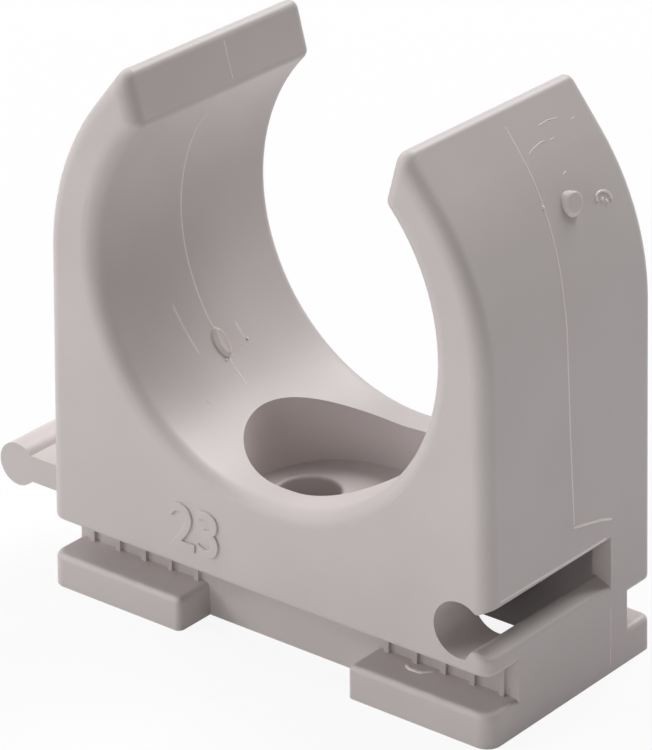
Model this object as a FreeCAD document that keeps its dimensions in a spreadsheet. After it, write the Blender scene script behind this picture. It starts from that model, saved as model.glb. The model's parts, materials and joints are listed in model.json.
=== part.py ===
"""Conduit clip: an open jaw on a cored base, moulded as one piece.

Two arms grip a conduit from below and at its sides, and spring apart at the mouth to let it in.
A counterbore in the seat takes the head of a screw, and a tongue on the left side slides into
the keyhole socket of the next clip, so that clips stand in a row.

Frame: +X to the right, +Y to the back, +Z up. The origin lies in the underside, at the middle of
the width and of the depth. Lengths are in millimetres and angles in degrees.
"""

import FreeCAD, Part
import math
import os

import Sketcher

NODE = "conduit_clip"

# Driving sizes: alias in the sheet, value, meaning
SIZES = (
    ("conduit_diameter", 23.0, "conduit held by the jaws"),
    ("body_depth", 14.84, "length of the seat along the conduit"),
    ("side_wall", 4.03, "wall beside the bore, measured at the underside"),
    ("seat_height", 9.74, "lowest line of the bore above the underside"),
    ("side_draft", 1.67, "lean of each outer side towards the middle"),
    ("shoulder_drop", 0.43, "end of the straight sides below the bore axis"),
    ("arm_growth", 3.54, "outer radius of the arms beyond the bore radius"),
    ("arm_lean", 38.9, "lean of the straight end of each arm towards the middle"),
    ("mouth_width", 16.35, "gap between the inner corners of the tips"),
    ("mouth_flare", 15.0, "lean of each tip face away from the middle"),
    ("tip_outer_round", 0.5, "rounding of the outer corner of a tip"),
    ("tip_inner_round", 0.55, "rounding of the inner corner of a tip"),
    ("front_round", 0.9, "rounding of the front outline"),
    ("back_round", 0.6, "rounding of the back outline"),
    ("undercut_height", 4.18, "underside of the jaws above the feet's sole"),
    ("foot_height", 2.0, "thickness of a foot"),
    ("foot_length", 9.6, "length of a foot along the width"),
    ("front_setback", 2.62, "neck behind the front face"),
    ("back_setback", 2.35, "neck before the back face"),
    ("ledge_round", 0.35, "rounding of the feet and of the jaws' lower edge"),
    ("core_side_wall", 1.43, "wall outside the core, at the sides"),
    ("core_front_wall", 0.87, "wall before the core"),
    ("core_back_wall", 0.45, "wall behind the core"),
    ("counterbore_radius", 5.06, "rounded ends of the counterbore"),
    ("counterbore_travel", 1.44, "straight stretch of the counterbore"),
    ("counterbore_floor", 6.86, "seat of the screw head above the underside"),
    ("boss_wall", 0.9, "wall of the boss outside the counterbore"),
    ("screw_hole", 3.6, "diameter of the screw hole"),
    ("screw_offset", 2.66, "screw hole left of the middle"),
    ("screw_hole_round", 0.2, "rounding of the screw hole's rim"),
    ("bulb_radius", 1.3, "round end of the tongue"),
    ("bulb_clearance", 0.35, "play round the bulb in the socket"),
    ("plate_thickness", 1.6, "web of the tongue"),
    ("lip_clearance", 0.13, "play below the web in the slot"),
    ("nose_clearance", 0.43, "play above the web in the slot"),
    ("lip_slope", 24.0, "slope of the slot's lips towards the side"),
    ("lip_foot", 0.45, "foot of the lower lip beyond the socket axis"),
    ("lip_crest", 0.85, "crest of the lower lip beyond the socket axis"),
    ("socket_inset", 2.13, "socket axis inside the right side"),
    ("socket_height", 6.6, "socket axis above the underside"),
    ("socket_depth", 11.0, "length of the socket from the front"),
    ("slot_round", 0.3, "rounding of the slot's lips"),
    ("side_gap", 0.4, "space between two clips in a row"),
    ("tongue_setback", 0.3, "tongue behind the front face"),
    ("tongue_play", 0.5, "socket longer than the tongue"),
    ("rib_count", 5.0, "ribs over each front foot"),
    ("rib_margin", 1.08, "first rib from the side"),
    ("rib_pitch", 1.93, "distance between two ribs"),
    ("rib_width", 0.35, "width of a rib"),
    ("rib_height", 0.25, "rib before the face of the neck"),
)

# Sizes that follow from the driving ones: alias and formula
DERIVED = (
    ("bore_radius", "conduit_diameter / 2"),
    ("half_width", "bore_radius + side_wall"),
    ("half_depth", "body_depth / 2"),
    ("bore_height", "seat_height + bore_radius"),
    ("shoulder_height", "bore_height - shoulder_drop"),
    ("arm_radius", "bore_radius + arm_growth"),
    ("neck_front", "half_depth - front_setback"),
    ("neck_back", "half_depth - back_setback"),
    ("foot_inner_end", "half_width - foot_length"),
    ("socket_radius", "bulb_radius + bulb_clearance"),
    ("socket_reach", "half_width - socket_inset"),
    ("core_ceiling", "socket_height + socket_radius"),
    ("core_reach", "half_width - core_side_wall"),
    ("bulb_reach", "half_width + side_gap + socket_inset"),
    ("tongue_length", "socket_depth - tongue_setback - tongue_play"),
)

# How far a cut runs past the solid, so that it leaves no skin
OVERRUN = 1.0


def make_sheet(doc):
    """Write the sizes into a sheet and return it."""
    sheet = doc.addObject("Spreadsheet::Sheet", "Sizes")
    for row, (alias, value, meaning) in enumerate(SIZES, 1):
        sheet.set(f"A{row}", meaning)
        sheet.set(f"B{row}", str(value))
        sheet.setAlias(f"B{row}", alias)
    for row, (alias, formula) in enumerate(DERIVED, len(SIZES) + 1):
        sheet.set(f"A{row}", alias.replace("_", " "))
        sheet.set(f"B{row}", f"={formula}")
        sheet.setAlias(f"B{row}", alias)
    doc.recompute()
    return sheet


def add_sketch(body, name, role, offset=None):
    """Attach a new sketch to one of the body's own planes, moved along its normal by a formula."""
    sketch = body.newObject("Sketcher::SketchObject", name)
    plane = next(item for item in body.Origin.OriginFeatures if item.Role == role)
    sketch.AttachmentSupport = [(plane, "")]
    sketch.MapMode = "FlatFace"
    if offset:
        sketch.setExpression("AttachmentOffset.Base.z", offset)
    return sketch


def number(sketch, formula):
    """Return what a formula of the sheet's aliases comes to, as a float."""
    value = sketch.evalExpression(formula)
    return float(getattr(value, "Value", value))


def drive(sketch, formula, kind, *where):
    """Add a dimension of a kind, such as Radius, and bind it to a formula."""
    value = number(sketch, formula)
    if kind == "Angle":
        value = math.radians(value)
    index = sketch.addConstraint(Sketcher.Constraint(kind, *where, value))
    sketch.setExpression(f"Constraints[{index}]", formula)


def join(sketch, kind, *where):
    """Add a relation without a size, such as Coincident."""
    sketch.addConstraint(Sketcher.Constraint(kind, *where))


def place(sketch, shape, end, across, up):
    """Hold one point of a sketch at the two formulas, measured from the origin."""
    for kind, formula, axis in (("DistanceX", across, -2), ("DistanceY", up, -1)):
        if formula == "0":
            join(sketch, "PointOnObject", shape, end, axis)
        else:
            drive(sketch, formula, kind, -1, 1, shape, end)


def line(sketch, start, end):
    """Add a straight line between two (across, up) pairs and return its index."""
    points = [FreeCAD.Vector(across, up, 0) for across, up in (start, end)]
    return sketch.addGeometry(Part.LineSegment(*points))


def arc(sketch, centre, radius, first, last):
    """Add an arc that runs anticlockwise between two angles and return its index."""
    circle = Part.Circle(FreeCAD.Vector(*centre, 0), FreeCAD.Vector(0, 0, 1), radius)
    return sketch.addGeometry(Part.ArcOfCircle(circle, math.radians(first), math.radians(last)))


def cos(degrees):
    """Return the cosine of an angle in degrees."""
    return math.cos(math.radians(degrees))


def sin(degrees):
    """Return the sine of an angle in degrees."""
    return math.sin(math.radians(degrees))


def mirrored(point):
    """Return the same point on the other side of the middle."""
    return (-point[0], point[1])


def polygon(sketch, corners):
    """Draw a closed outline through corners that are pairs of formulas."""
    points = [(number(sketch, across), number(sketch, up)) for across, up in corners]
    count = len(points)
    edges = [line(sketch, points[i], points[(i + 1) % count]) for i in range(count)]
    for i, edge in enumerate(edges):
        join(sketch, "Coincident", edge, 2, edges[(i + 1) % count], 1)
        place(sketch, edge, 1, *corners[i])


def rectangle(sketch, left, right, low, high):
    """Draw a rectangle between four formulas."""
    polygon(sketch, ((left, low), (right, low), (right, high), (left, high)))


def oval(sketch, radius, travel):
    """Draw two half circles about the origin, apart by a straight stretch along the width."""
    round_end = number(sketch, radius)
    shift = number(sketch, travel) / 2
    right = arc(sketch, (shift, 0), round_end, -90, 90)
    top = line(sketch, (shift, round_end), (-shift, round_end))
    left = arc(sketch, (-shift, 0), round_end, 90, 270)
    low = line(sketch, (-shift, -round_end), (shift, -round_end))
    for first, second in ((right, top), (top, left), (left, low), (low, right)):
        join(sketch, "Tangent", first, 2, second, 1)
    join(sketch, "Horizontal", top)
    join(sketch, "Symmetric", right, 3, left, 3, -1, 1)
    join(sketch, "PointOnObject", right, 3, -1)
    drive(sketch, radius, "Radius", right)
    drive(sketch, travel, "DistanceX", left, 3, right, 3)


def extrude(body, kind, name, sketch, length, reverse=False, both_ways=False):
    """Pad or pocket a sketch by a formula and return the feature."""
    feature = body.newObject(kind, name)
    feature.Profile = sketch
    feature.setExpression("Length", length)
    feature.Reversed = reverse
    if both_ways:
        feature.SideType = "Symmetric"
    body.Document.recompute()
    return feature


def edges_where(feature, test):
    """Name the edges of a feature whose bounding box passes a test."""
    return [f"Edge{i}" for i, edge in enumerate(feature.Shape.Edges, 1) if test(edge)]


def round_edges(body, name, test, radius):
    """Fillet the edges of the body's tip that pass a test."""
    base = body.Tip
    fillet = body.newObject("PartDesign::Fillet", name)
    fillet.Base = (base, edges_where(base, test))
    fillet.setExpression("Radius", radius)
    body.Document.recompute()
    return fillet


def near(value, target):
    """Tell whether two lengths agree."""
    return abs(value - target) < 0.01


# Jaws and base


def arm_points(size):
    """Return the right arm's shoulder, arc centre, bend, outer and inner tip as (across, up) pairs."""
    height, arm = size("shoulder_height"), size("arm_radius")
    draft, lean, flare = size("side_draft"), size("arm_lean"), size("mouth_flare")
    mouth = size("mouth_width") / 2
    shoulder = (size("half_width") - height * math.tan(math.radians(draft)), height)
    centre = (shoulder[0] - arm * cos(draft), height - arm * sin(draft))
    bend = (centre[0] + arm * cos(lean), centre[1] + arm * sin(lean))
    inner = (mouth, size("bore_height") + math.sqrt(size("bore_radius") ** 2 - mouth**2))
    rise = (bend[0] - inner[0]) * cos(lean) + (bend[1] - inner[1]) * sin(lean)
    rise = rise / sin(flare + lean)
    outer = (inner[0] + rise * sin(flare), inner[1] + rise * cos(flare))
    return shoulder, centre, bend, outer, inner


def draw_outline(body, size):
    """Draw the front outline: straight drafted sides, arms, tip faces and the bore."""
    sketch = add_sketch(body, "Outline", "XZ_Plane")
    shoulder, centre, bend, outer, inner = arm_points(size)
    half, arm, bore = size("half_width"), size("arm_radius"), size("bore_radius")
    draft, lean = size("side_draft"), size("arm_lean")
    gape = math.degrees(math.acos(inner[0] / bore))

    sole = line(sketch, (-half, 0), (half, 0))
    right = line(sketch, (half, 0), shoulder)
    right_arm = arc(sketch, centre, arm, draft, lean)
    right_end = line(sketch, bend, outer)
    right_tip = line(sketch, inner, outer)
    seat = arc(sketch, (0, size("bore_height")), bore, 180 - gape, 360 + gape)
    left_tip = line(sketch, mirrored(inner), mirrored(outer))
    left_end = line(sketch, mirrored(outer), mirrored(bend))
    left_arm = arc(sketch, mirrored(centre), arm, 180 - lean, 180 - draft)
    left = line(sketch, mirrored(shoulder), (-half, 0))

    join(sketch, "Coincident", sole, 2, right, 1)
    join(sketch, "Tangent", right, 2, right_arm, 1)
    join(sketch, "Tangent", right_arm, 2, right_end, 1)
    join(sketch, "Coincident", right_end, 2, right_tip, 2)
    join(sketch, "Coincident", right_tip, 1, seat, 2)
    join(sketch, "Coincident", seat, 1, left_tip, 1)
    join(sketch, "Coincident", left_tip, 2, left_end, 1)
    join(sketch, "Coincident", left_end, 2, left_arm, 1)
    join(sketch, "Tangent", left_arm, 2, left, 1)
    join(sketch, "Coincident", left, 2, sole, 1)
    join(sketch, "Symmetric", sole, 1, sole, 2, -2)
    join(sketch, "Symmetric", right, 2, left, 1, -2)
    join(sketch, "Symmetric", right_end, 1, left_end, 2, -2)
    join(sketch, "Symmetric", right_tip, 2, left_tip, 2, -2)
    join(sketch, "Symmetric", seat, 1, seat, 2, -2)
    join(sketch, "PointOnObject", sole, 1, -1)

    drive(sketch, "2 * Sizes.half_width", "DistanceX", sole, 1, sole, 2)
    drive(sketch, "90 + Sizes.side_draft", "Angle", right)
    drive(sketch, "Sizes.shoulder_height", "DistanceY", -1, 1, right, 2)
    drive(sketch, "Sizes.arm_radius", "Radius", right_arm)
    drive(sketch, "90 + Sizes.arm_lean", "Angle", right_end)
    drive(sketch, "Sizes.bore_height", "DistanceY", -1, 1, seat, 3)
    drive(sketch, "Sizes.bore_radius", "Radius", seat)
    drive(sketch, "Sizes.mouth_width", "DistanceX", seat, 1, seat, 2)
    drive(sketch, "90 - Sizes.mouth_flare", "Angle", right_tip)
    return sketch


def round_jaws(body, size):
    """Round the tips, then the front and back outlines."""
    depth = size("body_depth")
    outer, inner = arm_points(size)[3:]

    def along_depth(edge, corner):
        box = edge.BoundBox
        return near(box.YLength, depth) and near(abs(box.XMin), corner[0]) and near(box.ZMin, corner[1])

    def outer_tip(edge):
        return along_depth(edge, outer)

    def inner_tip(edge):
        return along_depth(edge, inner)

    def front(edge):
        box = edge.BoundBox
        return near(box.YMax, -depth / 2) and box.ZLength > 0.01

    def back(edge):
        box = edge.BoundBox
        return near(box.YMin, depth / 2) and box.ZLength > 0.01

    round_edges(body, "TipOuterRound", outer_tip, "Sizes.tip_outer_round")
    round_edges(body, "TipInnerRound", inner_tip, "Sizes.tip_inner_round")
    round_edges(body, "FrontRound", front, "Sizes.front_round")
    round_edges(body, "BackRound", back, "Sizes.back_round")


def cut_core(body):
    """Core the underside out and put the screw boss back into it."""
    sketch = add_sketch(body, "CoreOutline", "XY_Plane")
    rectangle(
        sketch,
        "-Sizes.core_reach",
        "Sizes.core_reach",
        "Sizes.core_front_wall - Sizes.neck_front",
        "Sizes.neck_back - Sizes.core_back_wall",
    )
    extrude(body, "PartDesign::Pocket", "Core", sketch, "Sizes.core_ceiling", reverse=True)
    boss = add_sketch(body, "BossOutline", "XY_Plane")
    oval(boss, "Sizes.counterbore_radius + Sizes.boss_wall", "Sizes.counterbore_travel")
    extrude(body, "PartDesign::Pad", "Boss", boss, "Sizes.core_ceiling")


def cut_undercut(body, side, offset, setback, reverse):
    """Cut the jaws free of the feet on the front or the back, and part the two feet."""
    sketch = add_sketch(body, f"{side}UndercutOutline", "XZ_Plane", offset)
    wide = f"(Sizes.half_width + {OVERRUN})"
    foot = "Sizes.foot_inner_end"
    polygon(
        sketch,
        (
            (f"-{foot}", f"-{OVERRUN}"),
            (foot, f"-{OVERRUN}"),
            (foot, "Sizes.foot_height"),
            (wide, "Sizes.foot_height"),
            (wide, "Sizes.undercut_height"),
            (f"-{wide}", "Sizes.undercut_height"),
            (f"-{wide}", "Sizes.foot_height"),
            (f"-{foot}", "Sizes.foot_height"),
        ),
    )
    extrude(body, "PartDesign::Pocket", f"{side}Undercut", sketch, setback, reverse=reverse)


def round_ledges(body, size):
    """Round the feet's free edges and the jaws' lower edge, outside the neck."""
    heights = (size("foot_height"), size("undercut_height"))

    def outside_neck(edge):
        box = edge.BoundBox
        return box.YMin < -size("neck_front") - 0.01 or box.YMax > size("neck_back") + 0.01

    def level(edge):
        box = edge.BoundBox
        return box.ZLength < 0.01 and any(near(box.ZMin, height) for height in heights)

    def foot_end(edge):
        box = edge.BoundBox
        upright = box.XLength < 0.01 and box.YLength < 0.01 and near(box.ZMax, size("foot_height"))
        return upright and near(abs(box.XMin), size("foot_inner_end"))

    def ledge(edge):
        return outside_neck(edge) and (level(edge) or foot_end(edge))

    round_edges(body, "LedgeRound", ledge, "Sizes.ledge_round")


def cut_screw_seat(body, size):
    """Sink the counterbore into the bore and drill the screw hole through its floor."""
    start = "Sizes.bore_height - Sizes.bore_radius / 2"
    sketch = add_sketch(body, "CounterboreOutline", "XY_Plane", start)
    oval(sketch, "Sizes.counterbore_radius", "Sizes.counterbore_travel")
    extrude(body, "PartDesign::Pocket", "Counterbore", sketch, f"{start} - Sizes.counterbore_floor")

    sketch = add_sketch(body, "ScrewAxis", "XY_Plane", "Sizes.counterbore_floor")
    centre = FreeCAD.Vector(number(sketch, "-Sizes.screw_offset"), 0, 0)
    radius = number(sketch, "Sizes.screw_hole / 2")
    circle = sketch.addGeometry(Part.Circle(centre, FreeCAD.Vector(0, 0, 1), radius))
    place(sketch, circle, 3, "-Sizes.screw_offset", "0")
    drive(sketch, "Sizes.screw_hole / 2", "Radius", circle)
    body.Document.recompute()
    hole = body.newObject("PartDesign::Hole", "ScrewHole")
    hole.Profile = sketch
    hole.DepthType = "ThroughAll"
    hole.setExpression("Diameter", "Sizes.screw_hole")
    body.Document.recompute()

    def hole_rim(edge):
        box = edge.BoundBox
        return box.ZLength < 0.01 and near(box.ZMin, size("counterbore_floor")) and near(box.YLength, 2 * radius)

    round_edges(body, "ScrewHoleRound", hole_rim, "Sizes.screw_hole_round")


# Sliding joint between clips


def cut_socket(body, size):
    """Cut the keyhole socket into the right side, open to the front and to the side."""
    sketch = add_sketch(body, "SocketOutline", "XZ_Plane", "Sizes.half_depth")
    centre = (size("socket_reach"), size("socket_height"))
    radius = size("socket_radius")
    half_plate = size("plate_thickness") / 2
    nose_rise = half_plate + size("nose_clearance")
    foot = math.acos(size("lip_foot") / radius)
    crest = (centre[0] + size("lip_crest"), centre[1] - half_plate - size("lip_clearance"))
    nose = (centre[0] + math.sqrt(radius**2 - nose_rise**2), centre[1] + nose_rise)
    outside = size("half_width") + OVERRUN
    slope = math.tan(math.radians(size("lip_slope")))
    low = (outside, crest[1] - slope * (outside - crest[0]))
    high = (outside, nose[1] + slope * (outside - nose[0]))
    lip = (centre[0] + size("lip_foot"), centre[1] - radius * math.sin(foot))

    first = math.degrees(math.asin(nose_rise / radius))
    wall = arc(sketch, centre, radius, first, 360 - math.degrees(foot))
    rise = line(sketch, lip, crest)
    fall = line(sketch, crest, low)
    side = line(sketch, low, high)
    roof = line(sketch, nose, high)
    join(sketch, "Coincident", wall, 2, rise, 1)
    join(sketch, "Coincident", rise, 2, fall, 1)
    join(sketch, "Coincident", fall, 2, side, 1)
    join(sketch, "Coincident", side, 2, roof, 2)
    join(sketch, "Coincident", roof, 1, wall, 1)
    join(sketch, "Vertical", side)
    place(sketch, wall, 3, "Sizes.socket_reach", "Sizes.socket_height")
    drive(sketch, "Sizes.socket_radius", "Radius", wall)
    drive(sketch, "Sizes.plate_thickness / 2 + Sizes.nose_clearance", "DistanceY", wall, 3, wall, 1)
    drive(sketch, "Sizes.lip_foot", "DistanceX", wall, 3, wall, 2)
    drive(sketch, "Sizes.lip_crest", "DistanceX", wall, 3, rise, 2)
    drive(sketch, "Sizes.plate_thickness / 2 + Sizes.lip_clearance", "DistanceY", rise, 2, wall, 3)
    drive(sketch, f"Sizes.half_width + {OVERRUN}", "DistanceX", -1, 1, side, 1)
    drive(sketch, "-Sizes.lip_slope", "Angle", fall)
    drive(sketch, "Sizes.lip_slope", "Angle", roof)
    extrude(body, "PartDesign::Pocket", "Socket", sketch, "Sizes.socket_depth")

    def slot_lip(edge):
        first, last = edge.Vertexes[0].Point, edge.Vertexes[-1].Point
        along = near(first.x, last.x) and near(first.z, last.z) and abs(first.y - last.y) > size("socket_depth") / 2
        lower = first.x > size("core_reach") + 0.01 and low[1] - radius < first.z < centre[1]
        return along and (lower or near(first.x, nose[0]))

    round_edges(body, "SlotRound", slot_lip, "Sizes.slot_round")


def add_tongue(body, size):
    """Grow the tongue from the left side: a web that ends in a round bulb."""
    sketch = add_sketch(body, "TongueOutline", "XZ_Plane", "Sizes.half_depth - Sizes.tongue_setback")
    reach, height = -size("bulb_reach"), size("socket_height")
    radius = size("bulb_radius")
    half_plate = size("plate_thickness") / 2
    root = -size("half_width") + size("core_side_wall") / 2
    turn = math.degrees(math.asin(half_plate / radius))
    neck = reach + radius * math.cos(math.radians(turn))

    bulb = arc(sketch, (reach, height), radius, turn, 360 - turn)
    under = line(sketch, (neck, height - half_plate), (root, height - half_plate))
    back = line(sketch, (root, height - half_plate), (root, height + half_plate))
    top = line(sketch, (root, height + half_plate), (neck, height + half_plate))
    join(sketch, "Coincident", bulb, 2, under, 1)
    join(sketch, "Coincident", under, 2, back, 1)
    join(sketch, "Coincident", back, 2, top, 1)
    join(sketch, "Coincident", top, 2, bulb, 1)
    join(sketch, "Horizontal", under)
    join(sketch, "Horizontal", top)
    join(sketch, "Vertical", back)
    join(sketch, "Vertical", bulb, 1, bulb, 2)
    place(sketch, bulb, 3, "-Sizes.bulb_reach", "Sizes.socket_height")
    drive(sketch, "Sizes.bulb_radius", "Radius", bulb)
    drive(sketch, "Sizes.plate_thickness", "DistanceY", back, 1, back, 2)
    drive(sketch, "-Sizes.half_width + Sizes.core_side_wall / 2", "DistanceX", -1, 1, back, 1)
    extrude(body, "PartDesign::Pad", "Tongue", sketch, "Sizes.tongue_length", reverse=True)


# Grip ribs


def add_ribs(body):
    """Set a row of upright ribs over each front foot, on the face of the neck."""
    axis = next(item for item in body.Origin.OriginFeatures if item.Role == "X_Axis")
    first = "(Sizes.half_width - Sizes.rib_margin)"
    half = "Sizes.rib_width / 2"
    for side, sign in (("Left", "-"), ("Right", "")):
        sketch = add_sketch(body, f"{side}RibOutline", "XZ_Plane", "Sizes.neck_front")
        edges = (f"{sign}{first} - {half}", f"{sign}{first} + {half}")
        rectangle(sketch, *edges, "Sizes.foot_height", "Sizes.undercut_height")
        rib = extrude(body, "PartDesign::Pad", f"{side}Rib", sketch, "Sizes.rib_height")
        row = body.newObject("PartDesign::LinearPattern", f"{side}Ribs")
        row.Originals = [rib]
        row.Direction = (axis, [""])
        row.Reversed = side == "Right"
        row.setExpression("Length", "Sizes.rib_pitch * (Sizes.rib_count - 1)")
        row.setExpression("Occurrences", "Sizes.rib_count")
        body.Tip = row
        body.Document.recompute()


def build_clip(doc, sheet):
    """Build the whole clip and return its body."""

    def size(alias):
        return float(getattr(sheet, alias))

    body = doc.addObject("PartDesign::Body", "Clip")
    body.Label = NODE
    body.Placement = FreeCAD.Placement()
    extrude(body, "PartDesign::Pad", "Jaws", draw_outline(body, size), "Sizes.body_depth", both_ways=True)
    cut_core(body)
    cut_screw_seat(body, size)
    round_jaws(body, size)
    cut_undercut(body, "Front", "Sizes.half_depth", "Sizes.front_setback", False)
    cut_undercut(body, "Back", "-Sizes.half_depth", "Sizes.back_setback", True)
    round_ledges(body, size)
    cut_socket(body, size)
    add_tongue(body, size)
    add_ribs(body)
    return body


def check(doc, body):
    """Stop if any object failed or the clip isn't one valid solid."""
    for item in doc.Objects:
        state = [word for word in item.State if word in ("Invalid", "Error")]
        if state:
            raise RuntimeError(f"{item.Name} is {state}")
    shape = body.Shape
    if shape.isNull() or not shape.isValid() or len(shape.Solids) != 1:
        raise RuntimeError("the clip is not one valid solid")


def main():
    doc = FreeCAD.newDocument("ConduitClip")
    sheet = make_sheet(doc)
    body = build_clip(doc, sheet)
    doc.recompute()
    check(doc, body)
    os.makedirs("parts", exist_ok=True)
    body.Shape.exportStep(f"parts/{body.Label}.step")
    box = body.Shape.BoundBox
    print(f"{body.Label}: {box.XLength:.2f} x {box.YLength:.2f} x {box.ZLength:.2f} mm,"
          f" {body.Shape.Volume:.0f} mm3, {len(body.Shape.Faces)} faces")


main()
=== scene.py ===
"""Dressed model of a conduit clip: moulded plastic, studio, camera and small moulding marks.

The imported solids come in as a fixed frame. The clip keeps its own surface and gets a plastic
finish. What moulding and handling left on it is modelled as thin pieces, partly sunk in that
surface: parting lines, flash, torn gates, crumbs, scratches, rubbed bands and the size figures.
Frame: +X to the right, +Y to the back, +Z up, with the origin in the sole. The marks' sizes and
places are in millimetres, and those of the studio and the camera in metres.
"""

from __future__ import annotations

import json
import logging
import math
from dataclasses import dataclass
from enum import Enum
from typing import Any, Sequence

import bpy
from mathutils import Matrix, Vector

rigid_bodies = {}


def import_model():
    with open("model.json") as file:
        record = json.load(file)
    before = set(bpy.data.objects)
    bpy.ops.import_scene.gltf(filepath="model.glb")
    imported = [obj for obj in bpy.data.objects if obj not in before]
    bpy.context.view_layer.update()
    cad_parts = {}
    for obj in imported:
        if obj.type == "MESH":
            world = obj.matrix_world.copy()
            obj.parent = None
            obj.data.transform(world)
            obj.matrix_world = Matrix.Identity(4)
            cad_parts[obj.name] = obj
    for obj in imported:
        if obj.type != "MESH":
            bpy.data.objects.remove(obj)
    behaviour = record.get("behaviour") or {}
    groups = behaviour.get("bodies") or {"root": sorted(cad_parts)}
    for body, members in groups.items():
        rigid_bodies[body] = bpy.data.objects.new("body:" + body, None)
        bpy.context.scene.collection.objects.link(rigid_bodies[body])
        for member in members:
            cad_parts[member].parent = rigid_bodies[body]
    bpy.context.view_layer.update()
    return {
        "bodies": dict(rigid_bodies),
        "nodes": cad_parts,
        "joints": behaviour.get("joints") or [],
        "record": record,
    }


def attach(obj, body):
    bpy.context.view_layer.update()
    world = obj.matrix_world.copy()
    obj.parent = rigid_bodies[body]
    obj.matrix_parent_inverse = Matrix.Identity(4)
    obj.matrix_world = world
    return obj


LOG = logging.getLogger("conduit_clip")
MM = 0.001
CLIP_NODE = "conduit_clip"
ROOT = "root"
DOUBLES = 0.001 * MM
SMOOTH_ANGLE = 50.0
WHITE = (1.0, 1.0, 1.0, 1.0)
CENTRE = (0.0, 0.0, 0.0)
RIGHT = (1.0, 0.0, 0.0)
BACK = (0.0, 1.0, 0.0)
UP = (0.0, 0.0, 1.0)

# The turn that stands a flat piece up to face the front.
UPRIGHT = (math.radians(90.0), 0.0, 0.0)

# A Mix node has sockets for every kind of value. These are the ones for colours.
MIX_FACTOR, MIX_FIRST, MIX_SECOND, MIX_RESULT = 0, 6, 7, 2

Point = tuple[float, float, float]
Tone = tuple[int, int, int]


def metres(point: Sequence[float]) -> Vector:
    """Turn a place in millimetres into metres."""
    return Vector(point) * MM


def linear(red: int, green: int, blue: int) -> tuple[float, float, float, float]:
    """Turn a display colour into the linear colour that shader sockets take, by the sRGB curve.

    Args:
        red: Display value from 0 to 255.
        green: Display value from 0 to 255.
        blue: Display value from 0 to 255.

    Returns:
        Linear red, green, blue and an alpha of 1.
    """
    channels = []
    for value in (red, green, blue):
        share = value / 255.0
        channels.append(share / 12.92 if share <= 0.04045 else ((share + 0.055) / 1.055) ** 2.4)
    return (*channels, 1.0)


class Wire:
    """A shader socket that takes part in Python expressions."""

    def __init__(self, graph: Graph, socket: bpy.types.NodeSocket | None) -> None:
        """Keep the graph and one of its output sockets."""
        self.graph = graph
        self.socket = socket

    def beside(self, name: str) -> Wire:
        """Return another output of the same node."""
        return Wire(self.graph, self.socket.node.outputs[name])

    def _math(self, operation: str, first: Any, second: Any) -> Wire:
        """Return the result of a Math node on two values or wires."""
        return self.graph.node("ShaderNodeMath", {"operation": operation}, {0: first, 1: second})

    def __add__(self, other: Any) -> Wire:
        """Return self + other."""
        return self._math("ADD", self, other)

    def __radd__(self, other: Any) -> Wire:
        """Return other + self."""
        return self._math("ADD", other, self)

    def __mul__(self, other: Any) -> Wire:
        """Return self * other."""
        return self._math("MULTIPLY", self, other)

    def __rmul__(self, other: Any) -> Wire:
        """Return other * self."""
        return self._math("MULTIPLY", other, self)


class Graph:
    """A node tree that is filled from Python expressions."""

    def __init__(self, tree: bpy.types.NodeTree) -> None:
        """Clear a node tree and keep it."""
        self.tree = tree
        tree.nodes.clear()

    def node(
        self,
        kind: str,
        settings: dict[str, Any] | None = None,
        inputs: dict[Any, Any] | None = None,
        output: int | str = 0,
    ) -> Wire:
        """Add a node, set it up and feed it.

        Args:
            kind: The node's type name.
            settings: Properties, set before the inputs.
            inputs: Values or wires by socket name or index.
            output: Name or index of the output that is returned.

        Returns:
            The chosen output as a wire, which is empty where the node has no outputs.
        """
        made = self.tree.nodes.new(kind)
        for name, value in (settings or {}).items():
            setattr(made, name, value)
        for name, value in (inputs or {}).items():
            target = made.inputs[name]
            if isinstance(value, Wire):
                self.tree.links.new(value.socket, target)
            else:
                target.default_value = value
        return Wire(self, made.outputs[output] if len(made.outputs) > 0 else None)

    def blend(self, factor: Any, first: Any, second: Any) -> Wire:
        """Return two colours blended, where the factor is the second one's share."""
        inputs = {MIX_FACTOR: factor, MIX_FIRST: first, MIX_SECOND: second}
        return self.node("ShaderNodeMix", {"data_type": "RGBA"}, inputs, MIX_RESULT)


@dataclass(frozen=True)
class Noise:
    """A noise pattern on a piece's own coordinates."""

    scale: float
    detail: float
    roughness: float

    def add(self, graph: Graph, place: Wire) -> Wire:
        """Add the pattern to a graph.

        Args:
            graph: The node tree to add to.
            place: The piece's coordinates.

        Returns:
            The pattern, from 0 to 1.
        """
        inputs = {
            "Vector": place,
            "Scale": self.scale,
            "Detail": self.detail,
            "Roughness": self.roughness,
        }
        return graph.node("ShaderNodeTexNoise", inputs=inputs)


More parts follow.
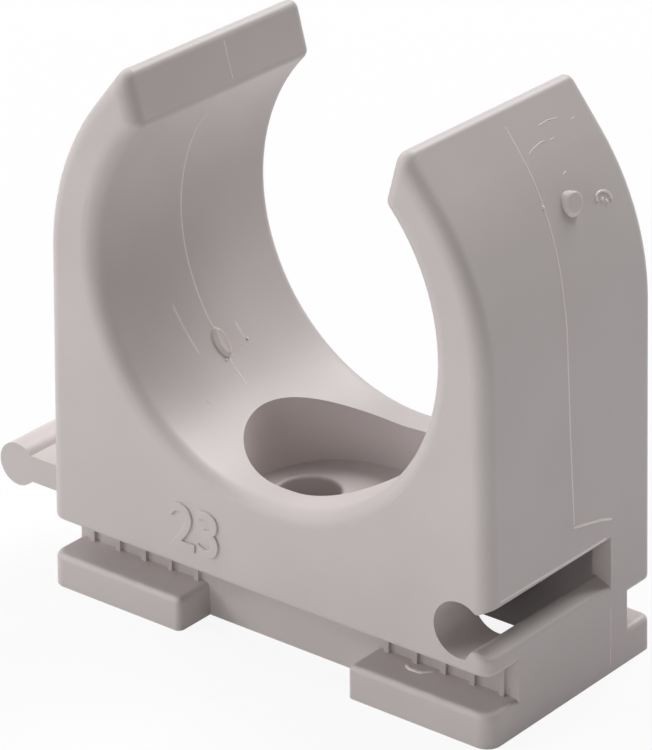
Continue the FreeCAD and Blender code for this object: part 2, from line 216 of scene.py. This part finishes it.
@dataclass(frozen=True)
class MouldedPlastic:
    """Satin moulded plastic with faint flow mottling and a fine grain."""

    name: str = "clip_plastic"
    base: Tone = (211, 203, 202)
    cloud: Tone = (193, 184, 183)
    mottling: Noise = Noise(90.0, 3.0, 0.55)
    roughness: float = 0.46
    roughness_spread: float = 0.12
    grain: Noise = Noise(2600.0, 2.0, 0.5)
    grain_depth: float = 0.012 * MM
    grain_strength: float = 0.35
    refraction: float = 1.47

    def make(self) -> bpy.types.Material:
        """Build the material.

        Returns:
            The new material.
        """
        material = bpy.data.materials.new(self.name)
        material.use_nodes = True
        graph = Graph(material.node_tree)
        place = graph.node("ShaderNodeTexCoord", output="Object")
        cloud = self.mottling.add(graph, place)
        smoothest = self.roughness - self.roughness_spread / 2.0
        bump = {
            "Height": self.grain.add(graph, place),
            "Distance": self.grain_depth,
            "Strength": self.grain_strength,
        }
        look = {
            "Base Color": graph.blend(cloud, linear(*self.base), linear(*self.cloud)),
            "Roughness": smoothest + cloud * self.roughness_spread,
            "Normal": graph.node("ShaderNodeBump", inputs=bump),
            "IOR": self.refraction,
        }
        surface = graph.node("ShaderNodeBsdfPrincipled", inputs=look)
        graph.node("ShaderNodeOutputMaterial", inputs={"Surface": surface})
        return material


def seen_directly(graph: Graph) -> Wire:
    """Tell apart the rays that should meet the white backdrop.

    Args:
        graph: The node tree to add to.

    Returns:
        1 for camera, glossy and transmission rays, and 0 for the rest.
    """
    camera = graph.node("ShaderNodeLightPath", output="Is Camera Ray")
    glossy = camera.beside("Is Glossy Ray")
    through = camera.beside("Is Transmission Ray")
    clamped = {"operation": "ADD", "use_clamp": True}
    return graph.node("ShaderNodeMath", clamped, {0: camera + glossy, 1: through})


@dataclass(frozen=True)
class Lamp:
    """One soft square lamp that faces the clip."""

    name: str
    place: Point
    power: float
    side: float = 0.45
    aim: Point = (0.0, 0.0, 0.015)

    def hang(self) -> None:
        """Hang the lamp in the scene."""
        light = bpy.data.lights.new(self.name, "AREA")
        light.shape = "SQUARE"
        light.size = self.side
        light.energy = self.power
        lamp = bpy.data.objects.new(self.name, light)
        lamp.location = self.place
        towards = Vector(self.aim) - Vector(self.place)
        lamp.rotation_euler = towards.to_track_quat("-Z", "Y").to_euler()
        bpy.context.scene.collection.objects.link(lamp)


@dataclass(frozen=True)
class Studio:
    """White floor, even surroundings and soft lamps."""

    floor_radius: float = 2.5
    floor_corners: int = 96
    floor_white: float = 0.80
    floor_glow: float = 0.90
    ambient: float = 0.07
    lamps: tuple[Lamp, ...] = (
        Lamp("left_high", (-0.55, 0.0, 0.75), 3.2),
        Lamp("left_front", (-0.6, -0.6, 0.5), 3.5),
        Lamp("front", (0.1, -0.95, 0.3), 1.6),
        Lamp("back_high", (0.0, 0.6, 0.75), 6.7),
    )

    def build(self) -> None:
        """Make the floor, the surroundings and the lamps."""
        self._floor()
        self._surroundings()
        for lamp in self.lamps:
            lamp.hang()
        LOG.info("studio lit: %d lamps", len(self.lamps))

    def _floor(self) -> None:
        """Lay a white disc that keeps the clip's shadow."""
        bpy.ops.mesh.primitive_circle_add(
            vertices=self.floor_corners,
            radius=self.floor_radius,
            fill_type="NGON",
            location=CENTRE,
        )
        floor = bpy.context.object
        floor.name = "floor"
        material = bpy.data.materials.new("floor_white")
        material.use_nodes = True
        graph = Graph(material.node_tree)
        white = (self.floor_white, self.floor_white, self.floor_white, 1.0)
        matte = graph.node("ShaderNodeBsdfDiffuse", inputs={"Color": white})
        glow = graph.node("ShaderNodeEmission", inputs={"Color": WHITE, "Strength": 1.0})
        share = seen_directly(graph) * self.floor_glow
        mixed = graph.node("ShaderNodeMixShader", inputs={0: share, 1: matte, 2: glow})
        graph.node("ShaderNodeOutputMaterial", inputs={"Surface": mixed})
        floor.data.materials.append(material)

    def _surroundings(self) -> None:
        """Light the scene evenly from all round and show white where nothing is hit."""
        world = bpy.data.worlds.new("surroundings")
        bpy.context.scene.world = world
        world.use_nodes = True
        graph = Graph(world.node_tree)
        kind = "ShaderNodeBackground"
        even = graph.node(kind, inputs={"Color": WHITE, "Strength": self.ambient})
        white = graph.node(kind, inputs={"Color": WHITE, "Strength": 1.0})
        share = seen_directly(graph)
        mixed = graph.node("ShaderNodeMixShader", inputs={0: share, 1: even, 2: white})
        graph.node("ShaderNodeOutputWorld", inputs={"Surface": mixed})


@dataclass(frozen=True)
class PhotoCamera:
    """Camera at the photograph's viewing angle."""

    name: str = "photo_camera"
    place: Point = (0.128966, -0.161218, 0.111477)
    yaw: float = 38.953
    pitch: float = 25.110
    roll: float = -0.424
    focal_pixels: float = 4191.1
    image_height: float = 750.0
    sensor_height: float = 24.0
    near: float = 0.01
    far: float = 20.0

    def build(self) -> None:
        """Make the camera and look through it."""
        data = bpy.data.cameras.new(self.name)
        data.sensor_fit = "VERTICAL"
        data.sensor_height = self.sensor_height
        data.lens = self.focal_pixels / self.image_height * self.sensor_height
        data.clip_start = self.near
        data.clip_end = self.far
        camera = bpy.data.objects.new(self.name, data)
        turn = Matrix.Rotation(math.radians(self.yaw), 4, "Z")
        tilt = Matrix.Rotation(math.radians(90.0 - self.pitch), 4, "X")
        lean = Matrix.Rotation(math.radians(self.roll), 4, "Z")
        camera.matrix_world = Matrix.Translation(self.place) @ turn @ tilt @ lean
        bpy.context.scene.collection.objects.link(camera)
        bpy.context.scene.camera = camera
        LOG.info("camera set: %.1f mm lens", data.lens)


@dataclass(frozen=True)
class Clip:
    """The moulded clip itself."""

    finish: MouldedPlastic = MouldedPlastic()

    def build(self, frame: dict[str, Any]) -> None:
        """Give the clip's own surface its plastic.
        """
        node = frame["nodes"][CLIP_NODE]
        node.data.materials.clear()
        node.data.materials.append(self.finish.make())
        LOG.info("%s: %d faces", CLIP_NODE, len(node.data.polygons))


class Facing(Enum):
    """The side of a barrel that is open air, as the sign of the way out of the plastic."""

    OUTSIDE = 1.0
    INSIDE = -1.0


@dataclass(frozen=True)
class Barrel:
    """A round surface of the clip whose axis runs along the conduit."""

    x: float
    z: float
    radius: float
    facing: Facing

    def at(self, rise: float, depth: float, sunk: float = 0.0) -> Vector:
        """Find a place on the surface or under it.

        Args:
            rise: Angle in degrees from +X towards +Z.
            depth: Place along the conduit.
            sunk: How far the place lies in the plastic.

        Returns:
            The place in millimetres.
        """
        turn = math.radians(rise)
        reach = self.radius - self.facing.value * sunk
        return Vector((self.x + reach * math.cos(turn), depth, self.z + reach * math.sin(turn)))

    def out(self, rise: float) -> Vector:
        """Return the direction out of the plastic at an angle in degrees."""
        turn = math.radians(rise)
        return Vector((math.cos(turn), 0.0, math.sin(turn))) * self.facing.value


@dataclass(frozen=True)
class Flank:
    """The flat right side of the clip, which leans in towards the top."""

    foot: float
    lean: float

    def at(self, depth: float, height: float, sunk: float) -> Point:
        """Return the place at a depth along the conduit and a height, sunk in the plastic."""
        slope = math.tan(math.radians(self.lean))
        return (self.foot - sunk - height * slope, depth, height)


ARM = Barrel(-0.111, 20.372, 15.04, Facing.OUTSIDE)
BORE = Barrel(0.0, 21.24, 11.5, Facing.INSIDE)
FLANK = Flank(15.53, 1.67)


class Mark:
    """What the small marks on the surface have in common."""

    @staticmethod
    def begin() -> None:
        """Leave nothing selected before a primitive is added."""
        bpy.ops.object.select_all(action="DESELECT")

    @staticmethod
    def edit_all() -> None:
        """Go into edit mode with everything selected."""
        bpy.ops.object.mode_set(mode="EDIT")
        bpy.ops.mesh.select_all(action="SELECT")

    @staticmethod
    def settle() -> None:
        """Put the active piece's place, turn and scale into its mesh."""
        bpy.ops.object.transform_apply(location=True, rotation=True, scale=True)

    @staticmethod
    def disc(
        corners: int, radius: float, place: Sequence[float], turn: Sequence[float] = CENTRE
    ) -> None:
        """Start a piece as a small disc and go into edit mode on it.

        Args:
            corners: Corners of its rim.
            radius: Radius in millimetres.
            place: Its middle in millimetres.
            turn: Its Euler angles.
        """
        Mark.begin()
        bpy.ops.mesh.primitive_circle_add(
            vertices=corners,
            radius=radius * MM,
            fill_type="NGON",
            location=metres(place),
            rotation=turn,
        )
        Mark.settle()
        Mark.edit_all()

    @staticmethod
    def push(move: Sequence[float]) -> None:
        """Extrude what is selected by a move in millimetres."""
        bpy.ops.mesh.extrude_region_move(TRANSFORM_OT_translate={"value": metres(move)})

    @staticmethod
    def end(name: str, finish: bpy.types.Material) -> None:
        """Clean the active piece, settle it in place and let it ride on the clip.

        Args:
            name: Name of the piece.
            finish: Its material.
        """
        piece = bpy.context.object
        Mark.edit_all()
        bpy.ops.mesh.remove_doubles(threshold=DOUBLES)
        bpy.ops.mesh.normals_make_consistent(inside=False)
        bpy.ops.object.mode_set(mode="OBJECT")
        Mark.settle()
        bpy.ops.object.shade_smooth_by_angle(angle=math.radians(SMOOTH_ANGLE))
        piece.name = name
        piece.data.name = name
        piece.data.materials.clear()
        piece.data.materials.append(finish)
        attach(piece, ROOT)
        LOG.info("%s: %d faces", name, len(piece.data.polygons))


@dataclass(frozen=True)
class Straight:
    """A straight run of a line, to a place in millimetres."""

    to: Sequence[float]


@dataclass(frozen=True)
class Bend:
    """A run of a line round a barrel, which may drift along the conduit."""

    barrel: Barrel
    degrees: float
    drift: float
    steps: int

    def end(self, start: Vector) -> Vector:
        """Find where the run ends.

        Args:
            start: Where it starts, in millimetres.

        Returns:
            Its end, in millimetres.
        """
        reach = Vector((start.x - self.barrel.x, start.z - self.barrel.z))
        turned = Matrix.Rotation(math.radians(self.degrees), 2) @ reach
        return Vector((self.barrel.x + turned.x, start.y + self.drift, self.barrel.z + turned.y))


@dataclass(frozen=True)
class FineLine(Mark):
    """A thin raised line with narrow ends: a parting line, a scratch or a rubbed band."""

    name: str
    start: Sequence[float]
    runs: tuple[Straight | Bend, ...]
    width: float
    heading: Point = UP
    tail: float = 0.4
    corners: int = 8
    taper_share: float = 0.3
    taper_length: float = 0.3

    def build(self, finish: bpy.types.Material) -> None:
        """Draw the line out of a small disc, run by run.

        Args:
            finish: Material of the line.
        """
        turn = Vector(self.heading).to_track_quat("Z", "Y").to_euler()
        self.disc(self.corners, self.width / 2.0, self.start, turn)
        self._scale(self.tail)
        place = Vector(self.start)
        for number, run in enumerate(self.runs):
            first = number == 0
            last = number == len(self.runs) - 1
            if isinstance(run, Straight):
                self._draw(Vector(run.to) - place, first, last)
                place = Vector(run.to)
            else:
                self._turn(run, first, last)
                place = run.end(place)
        bpy.ops.object.mode_set(mode="OBJECT")
        self.end(self.name, finish)

    def _scale(self, scale: float) -> None:
        """Scale the selected end evenly."""
        bpy.ops.transform.resize(value=(scale, scale, scale))

    def _draw(self, move: Vector, first: bool, last: bool) -> None:
        """Extrude the selected end straight on, with a taper at the line's own ends.

        Args:
            move: The run's vector in millimetres.
            first: Whether the line starts with this run.
            last: Whether the line ends with this run.
        """
        taper = min(self.taper_share, self.taper_length / move.length)
        parts = [(1.0 - taper * (first + last), 1.0)]
        if first:
            parts.insert(0, (taper, 1.0 / self.tail))
        if last:
            parts.append((taper, self.tail))
        for share, scale in parts:
            self.push(move * share)
            self._scale(scale)

    def _turn(self, run: Bend, first: bool, last: bool) -> None:
        """Extrude the selected end round a barrel in even steps.

        Args:
            run: The run round the barrel.
            first: Whether the line starts with this run.
            last: Whether the line ends with this run.
        """
        step = math.radians(run.degrees) / run.steps
        axis = metres((run.barrel.x, 0.0, run.barrel.z))
        for number in range(run.steps):
            self.push((0.0, run.drift / run.steps, 0.0))
            bpy.ops.transform.rotate(
                value=step, orient_axis="Y", orient_type="GLOBAL", center_override=axis
            )
            if first and number == 0:
                self._scale(1.0 / self.tail)
            if last and number == run.steps - 1:
                self._scale(self.tail)


@dataclass(frozen=True)
class Stub(Mark):
    """The torn stub that a gate leaves: a low boss whose broken top slants and is hollow."""

    name: str
    spot: Vector
    out: Vector
    width: float
    length: float
    height: float
    slant: float
    side_slant: float
    hollow: float = 0.05
    corners: int = 16
    rooted: float = 0.15
    top_share: tuple[float, float] = (0.78, 0.82)
    rim_share: float = 0.16
    smoothing: int = 2

    def build(self, finish: bpy.types.Material) -> None:
        """Raise the boss out of a disc and set it on the surface.

        Args:
            finish: Material of the stub.
        """
        self.disc(self.corners, self.width / 2.0, (0.0, 0.0, -self.rooted))
        bpy.ops.transform.resize(value=(1.0, self.length / self.width, 1.0))
        self.push((0.0, 0.0, self.rooted))
        self.push((0.0, 0.0, self.height))
        bpy.ops.transform.resize(value=(*self.top_share, 1.0))
        top = metres((0.0, 0.0, self.height))
        for axis, slant in (("X", self.slant), ("Y", self.side_slant)):
            turn = math.radians(slant)
            bpy.ops.transform.rotate(value=turn, orient_axis=axis, center_override=top)
        bpy.ops.mesh.inset(thickness=self.width * self.rim_share * MM, depth=-self.hollow * MM)
        bpy.ops.object.mode_set(mode="OBJECT")
        piece = bpy.context.object
        rounding = piece.modifiers.new("rounding", "SUBSURF")
        rounding.levels = self.smoothing
        rounding.render_levels = self.smoothing
        bpy.ops.object.modifier_apply(modifier=rounding.name)
        piece.location = metres(self.spot)
        piece.rotation_euler = self.out.to_track_quat("Z", "Y").to_euler()
        self.end(self.name, finish)


@dataclass(frozen=True)
class RingMark(Mark):
    """A small raised ring, open at the bottom."""

    name: str
    spot: Vector
    out: Vector
    radius: float
    bead: float
    stretch: float
    lean: float
    first: float = 194.0
    sweep: float = 208.0
    corners: int = 10
    steps: int = 26

    def build(self, finish: bpy.types.Material) -> None:
        """Spin a small disc into an open ring and set it on the surface.

        Args:
            finish: Material of the ring.
        """
        self.disc(self.corners, self.bead, (self.radius, 0.0, 0.0), UPRIGHT)
        sweep = math.radians(self.sweep)
        bpy.ops.mesh.spin(steps=self.steps, angle=sweep, center=CENTRE, axis=UP)
        bpy.ops.object.mode_set(mode="OBJECT")
        piece = bpy.context.object
        piece.rotation_euler = (0.0, 0.0, math.radians(self.first))
        self.settle()
        self.edit_all()
        bpy.ops.transform.resize(value=(self.stretch, 1.0, 1.0), center_override=CENTRE)
        bpy.ops.object.mode_set(mode="OBJECT")
        piece.location = metres(self.spot)
        lean = Matrix.Rotation(math.radians(self.lean), 3, "Z")
        turn = self.out.to_track_quat("Z", "Y").to_matrix() @ lean
        piece.rotation_euler = turn.to_euler()
        self.end(self.name, finish)


@dataclass(frozen=True)
class Crumbs(Mark):
    """Tiny crumbs of plastic that cling to the surface."""

    name: str
    spots: tuple[tuple[Vector, float], ...]
    cut_height: float = 0.35
    cut_slant: Point = (0.4, 0.2, 1.0)
    proportions: Point = (1.0, 0.8, 0.9)
    turns: tuple[float, float] = (0.5, 0.9)

    def build(self, finish: bpy.types.Material) -> None:
        """Model one crumb, 1 mm in radius, and copy it to its places at their sizes.

        Args:
            finish: Material of the crumbs.
        """
        self.begin()
        bpy.ops.mesh.primitive_ico_sphere_add(subdivisions=2, radius=MM, location=CENTRE)
        pattern = bpy.context.object
        self.edit_all()
        bpy.ops.mesh.bisect(
            plane_co=(0.0, 0.0, self.cut_height * MM),
            plane_no=self.cut_slant,
            use_fill=True,
            clear_outer=True,
        )
        bpy.ops.object.mode_set(mode="OBJECT")
        for number, (spot, size) in enumerate(self.spots, 1):
            self.begin()
            crumb = pattern.copy()
            crumb.data = pattern.data.copy()
            bpy.context.scene.collection.objects.link(crumb)
            bpy.context.view_layer.objects.active = crumb
            crumb.select_set(True)
            crumb.location = metres(spot)
            crumb.scale = Vector(self.proportions) * size
            crumb.rotation_euler = (*(turn * number for turn in self.turns), 0.0)
            self.end(f"{self.name}_{number}", finish)
        bpy.data.objects.remove(pattern)


@dataclass(frozen=True)
class SizeFigures(Mark):
    """The conduit size in raised figures on the front."""

    name: str = "size_figures"
    body: str = "23"
    left: float = -6.35
    low: float = 5.36
    face: float = -7.42
    height: float = 2.78
    width: float = 3.4
    relief: float = 0.13
    sunk: float = 0.05
    type_share: float = 1.4
    edge: float = 0.06
    edge_steps: int = 3

    def build(self, finish: bpy.types.Material) -> None:
        """Write the figures, make them a mesh and set them on the front.

        Args:
            finish: Material of the figures.
        """
        thickness = self.relief + self.sunk
        self.begin()
        bpy.ops.object.text_add(location=CENTRE)
        text = bpy.context.object.data
        text.body = self.body
        text.size = self.height * self.type_share * MM
        text.extrude = thickness / 2.0 * MM
        text.bevel_depth = self.edge * MM
        text.bevel_resolution = self.edge_steps
        bpy.ops.object.convert(target="MESH")
        figures = bpy.context.object
        low = Vector(min(corner[axis] for corner in figures.bound_box) for axis in range(3))
        high = Vector(max(corner[axis] for corner in figures.bound_box) for axis in range(3))
        self.edit_all()
        bpy.ops.transform.translate(value=-low)
        wide = self.width * MM / (high.x - low.x)
        tall = self.height * MM / (high.y - low.y)
        deep = thickness * MM / (high.z - low.z)
        bpy.ops.transform.resize(value=(wide, tall, deep), center_override=CENTRE)
        bpy.ops.object.mode_set(mode="OBJECT")
        figures.location = metres((self.left, self.face + self.sunk, self.low))
        figures.rotation_euler = UPRIGHT
        self.end(self.name, finish)


@dataclass(frozen=True)
class PartingLines:
    """Raised lines where the mould's parts met, and the flash beside them.

    Places on the flank are a depth and a height, and the other places are points.
    """

    sunk: float = 0.05
    arm_width: float = 0.15
    flank_places: tuple[tuple[float, float], ...] = (
        (0.235, 10.05),
        (-0.05, 15.5),
        (-0.27, 20.81),
    )
    arm_bends: tuple[Bend, ...] = (
        Bend(ARM, 9.0, -0.02, 4),
        Bend(ARM, 10.0, 0.23, 4),
        Bend(ARM, 18.2, 0.5, 8),
    )
    arm_end: Point = (10.1, 0.5, 31.67)
    arm_end_out: Point = (0.78, 0.0, 0.63)
    slot_width: float = 0.2
    slot_places: tuple[tuple[float, float], ...] = (
        (0.1, 10.13),
        (1.66, 9.82),
        (2.76, 9.56),
        (3.8, 9.22),
    )
    low_width: float = 0.12
    low_top: tuple[float, float] = (3.57, 4.3)
    low_foot: tuple[float, float] = (3.5, 0.25)
    tip_width: float = 0.14
    tip_top: Point = (-8.918, 0.68, 32.1)
    tip_foot: Point = (-8.228, 0.74, 29.5)
    bore_width: float = 0.15
    bore_rise: float = 138.5
    bore_depth: float = 0.7
    bore_heading: Point = (-0.6, 0.0, -0.8)
    bore_bends: tuple[Bend, ...] = (
        Bend(BORE, 3.5, -0.4, 2),
        Bend(BORE, 3.0, -0.35, 2),
        Bend(BORE, 5.0, -0.25, 3),
        Bend(BORE, 63.5, 0.45, 24),
        Bend(BORE, 2.0, 0.32, 3),
        Bend(BORE, 2.5, 0.18, 3),
        Bend(BORE, 2.5, -0.15, 3),
        Bend(BORE, 3.7, -0.45, 3),
        Bend(BORE, 9.8, -0.1, 4),
    )
    brow_width: float = 0.22
    brow: tuple[Point, ...] = (
        (14.92, -7.05, 8.4),
        (15.2, -6.3, 8.42),
        (15.21, -1.0, 8.34),
        (15.22, 3.3, 8.3),
    )
    flash_width: float = 0.3
    flash: tuple[Point, ...] = (
        (8.4, -5.5, 1.95),
        (8.9, -5.72, 1.95),
        (9.6, -5.66, 1.95),
        (10.2, -5.0, 1.95),
    )

    def build(self, finish: bpy.types.Material) -> None:
        """Model the lines.

        Args:
            finish: Their material.
        """
        lines = (self.arm(), self.slot(), self.low(), self.tip(), self.bore())
        for line in (*lines, *self.flashes()):
            line.build(finish)

    def arm(self) -> FineLine:
        """Describe the line that runs up the right flank and round the arm.

        Returns:
            The line.
        """
        start, *rest = (FLANK.at(*place, self.sunk) for place in self.flank_places)
        end = Vector(self.arm_end) - Vector(self.arm_end_out) * self.sunk
        runs = (*(Straight(place) for place in rest), *self.arm_bends, Straight(end))
        return FineLine("parting_right", start, runs, self.arm_width)

    def slot(self) -> FineLine:
        """Describe the line that falls to the back above the side slot.

        Returns:
            The line.
        """
        start, *rest = (FLANK.at(*place, self.sunk) for place in self.slot_places)
        runs = tuple(Straight(place) for place in rest)
        return FineLine("parting_slot", start, runs, self.slot_width, BACK)

    def low(self) -> FineLine:
        """Describe the line from the side slot down to the sole.

        Returns:
            The line.
        """
        start = FLANK.at(*self.low_top, self.sunk)
        end = (FLANK.foot - self.sunk, *self.low_foot)
        return FineLine("parting_slot_low", start, (Straight(end),), self.low_width)

    def tip(self) -> FineLine:
        """Describe the line down the left arm's tip, on the side of the mouth.

        Returns:
            The line.
        """
        inwards = Vector(RIGHT) * self.sunk
        start = Vector(self.tip_top) - inwards
        end = Vector(self.tip_foot) - inwards
        return FineLine("parting_tip", start, (Straight(end),), self.tip_width)

    def bore(self) -> FineLine:
        """Describe the wavering line down the bore's left wall.

        Returns:
            The line.
        """
        start = BORE.at(self.bore_rise, self.bore_depth, self.sunk)
        width, heading = self.bore_width, self.bore_heading
        return FineLine("parting_bore", start, self.bore_bends, width, heading)

    def flashes(self) -> tuple[FineLine, ...]:
        """List the brow over the side slot and the flash on the right foot.

        Returns:
            The lines.
        """
        brow = tuple(Straight(place) for place in self.brow[1:])
        flash = tuple(Straight(place) for place in self.flash[1:])
        return (
            FineLine("slot_brow", self.brow[0], brow, self.brow_width, BACK),
            FineLine("foot_flash", self.flash[0], flash, self.flash_width, RIGHT),
        )


@dataclass(frozen=True)
class Wear:
    """Rubbed bands in the bore and scratches, each a little under the surface it is on."""

    band_width: float = 0.6
    band_sunk: float = 0.26
    band_tail: float = 0.9
    band_heading: Point = (0.4, 0.0, -0.9)
    scratch_width: float = 0.1
    scratch_tail: float = 0.3
    scratches: tuple[tuple[Point, ...], ...] = (
        ((10.62, 2.67, 30.98), (10.58, 3.68, 31.02), (10.67, 4.62, 30.91)),
        ((10.89, 5.21, 30.64), (10.89, 5.75, 30.64)),
        ((11.34, 0.91, 30.08), (11.21, 1.52, 30.24), (11.13, 2.34, 30.35), (11.17, 2.72, 30.3)),
        ((11.21, 2.92, 30.24), (11.18, 3.49, 30.28)),
        ((12.37, 2.52, 28.71), (12.28, 3.08, 28.84)),
        ((-7.46, -3.2, 12.45), (-6.81, -3.12, 11.94)),
        ((13.46, 4.69, 26.76), (13.59, 4.61, 26.48)),
    )

    def build(self, finish: bpy.types.Material) -> None:
        """Model the bands and the scratches.

        Args:
            finish: Their material.
        """
        self._band("scuff_long", 202.65, -2.06, Bend(BORE, 16.3, 0.33, 8)).build(finish)
        self._band("scuff_short", 214.4, 1.89, Bend(BORE, 5.7, 0.0, 4)).build(finish)
        for number, places in enumerate(self.scratches, 1):
            self._scratch(number, places).build(finish)

    def _band(self, name: str, rise: float, depth: float, run: Bend) -> FineLine:
        """Describe a wide band of which only the back stands out of the surface.

        Args:
            name: Name of the band.
            rise: Where it starts, as an angle round the bore.
            depth: Where it starts along the conduit.
            run: How it runs on.

        Returns:
            The band.
        """
        start = BORE.at(rise, depth, self.band_sunk)
        return FineLine(
            name, start, (run,), self.band_width, self.band_heading, tail=self.band_tail
        )

    def _scratch(self, number: int, places: tuple[Point, ...]) -> FineLine:
        """Describe a scratch.

        Args:
            number: Its number, from 1.
            places: The places that it goes through.

        Returns:
            The scratch.
        """
        runs = tuple(Straight(place) for place in places[1:])
        heading = tuple(Vector(places[1]) - Vector(places[0]))
        name = f"scratch_{number}"
        return FineLine(
            name, places[0], runs, self.scratch_width, heading, tail=self.scratch_tail
        )


@dataclass(frozen=True)
class Gates:
    """Torn stubs and the ring where the mould was filled, and the crumbs round them."""

    gate: Stub = Stub(
        "gate_stub",
        spot=ARM.at(28.1, 2.2),
        out=ARM.out(28.1),
        width=1.3,
        length=1.5,
        height=0.5,
        slant=-18.0,
        side_slant=16.0,
    )
    ring: RingMark = RingMark(
        "ring_mark",
        spot=ARM.at(26.0, 4.85),
        out=ARM.out(26.0),
        radius=0.4,
        bead=0.07,
        stretch=1.5,
        lean=-12.0,
    )
    inner: Stub = Stub(
        "inner_stub",
        spot=BORE.at(218.6, 0.12),
        out=BORE.out(218.6),
        width=0.9,
        length=2.0,
        height=0.34,
        slant=-3.0,
        side_slant=14.0,
    )
    crumbs: Crumbs = Crumbs(
        "crumb",
        (
            (BORE.at(222.0, 1.43, 0.03), 0.1),
            (BORE.at(221.0, 2.06, 0.03), 0.13),
            (BORE.at(223.6, -0.2, 0.03), 0.11),
            (BORE.at(222.6, 2.25, 0.03), 0.08),
            (BORE.at(224.0, 0.4, 0.03), 0.08),
            (ARM.at(25.9, 4.7, 0.04), 0.17),
            (ARM.at(25.2, 5.0, 0.04), 0.15),
            (ARM.at(29.9, 0.19, 0.04), 0.13),
        ),
    )

    def build(self, torn: bpy.types.Material, raised: bpy.types.Material) -> None:
        """Model the stubs, the ring and the crumbs.

        Args:
            torn: Material of the stubs.
            raised: Material of the ring and the crumbs, lightened as painted highlight.
        """
        self.gate.build(torn)
        self.ring.build(raised)
        self.inner.build(torn)
        self.crumbs.build(raised)


@dataclass(frozen=True)
class MouldMarks:
    """All that the mould and handling left on the clip's surface."""

    # Lighter plastic, partly stress whitening and partly painted highlight: it makes the parting
    # lines, the ring and the crumbs read light where their own shading shows them dark.
    whitened_highlight: MouldedPlastic = MouldedPlastic(
        name="whitened_highlight_plastic", base=(242, 233, 231), cloud=(228, 218, 216), roughness=0.36
    )
    rubbed: MouldedPlastic = MouldedPlastic(
        name="rubbed_plastic", base=(230, 221, 219), cloud=(214, 205, 203), roughness=0.4
    )
    plain: MouldedPlastic = MouldedPlastic(name="figure_plastic")

    def build(self) -> None:
        """Model every mark."""
        whitened_highlight = self.whitened_highlight.make()
        rubbed = self.rubbed.make()
        PartingLines().build(whitened_highlight)
        Wear().build(rubbed)
        Gates().build(rubbed, whitened_highlight)
        SizeFigures().build(self.plain.make())


def main() -> None:
    """Build the scene in order."""
    logging.basicConfig(level=logging.INFO, format="%(message)s")
    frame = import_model()
    bpy.ops.object.select_all(action="DESELECT")
    bpy.context.scene.view_settings.view_transform = "Standard"
    Clip().build(frame)
    MouldMarks().build()
    Studio().build()
    PhotoCamera().build()


if __name__ == "__main__":
    main()
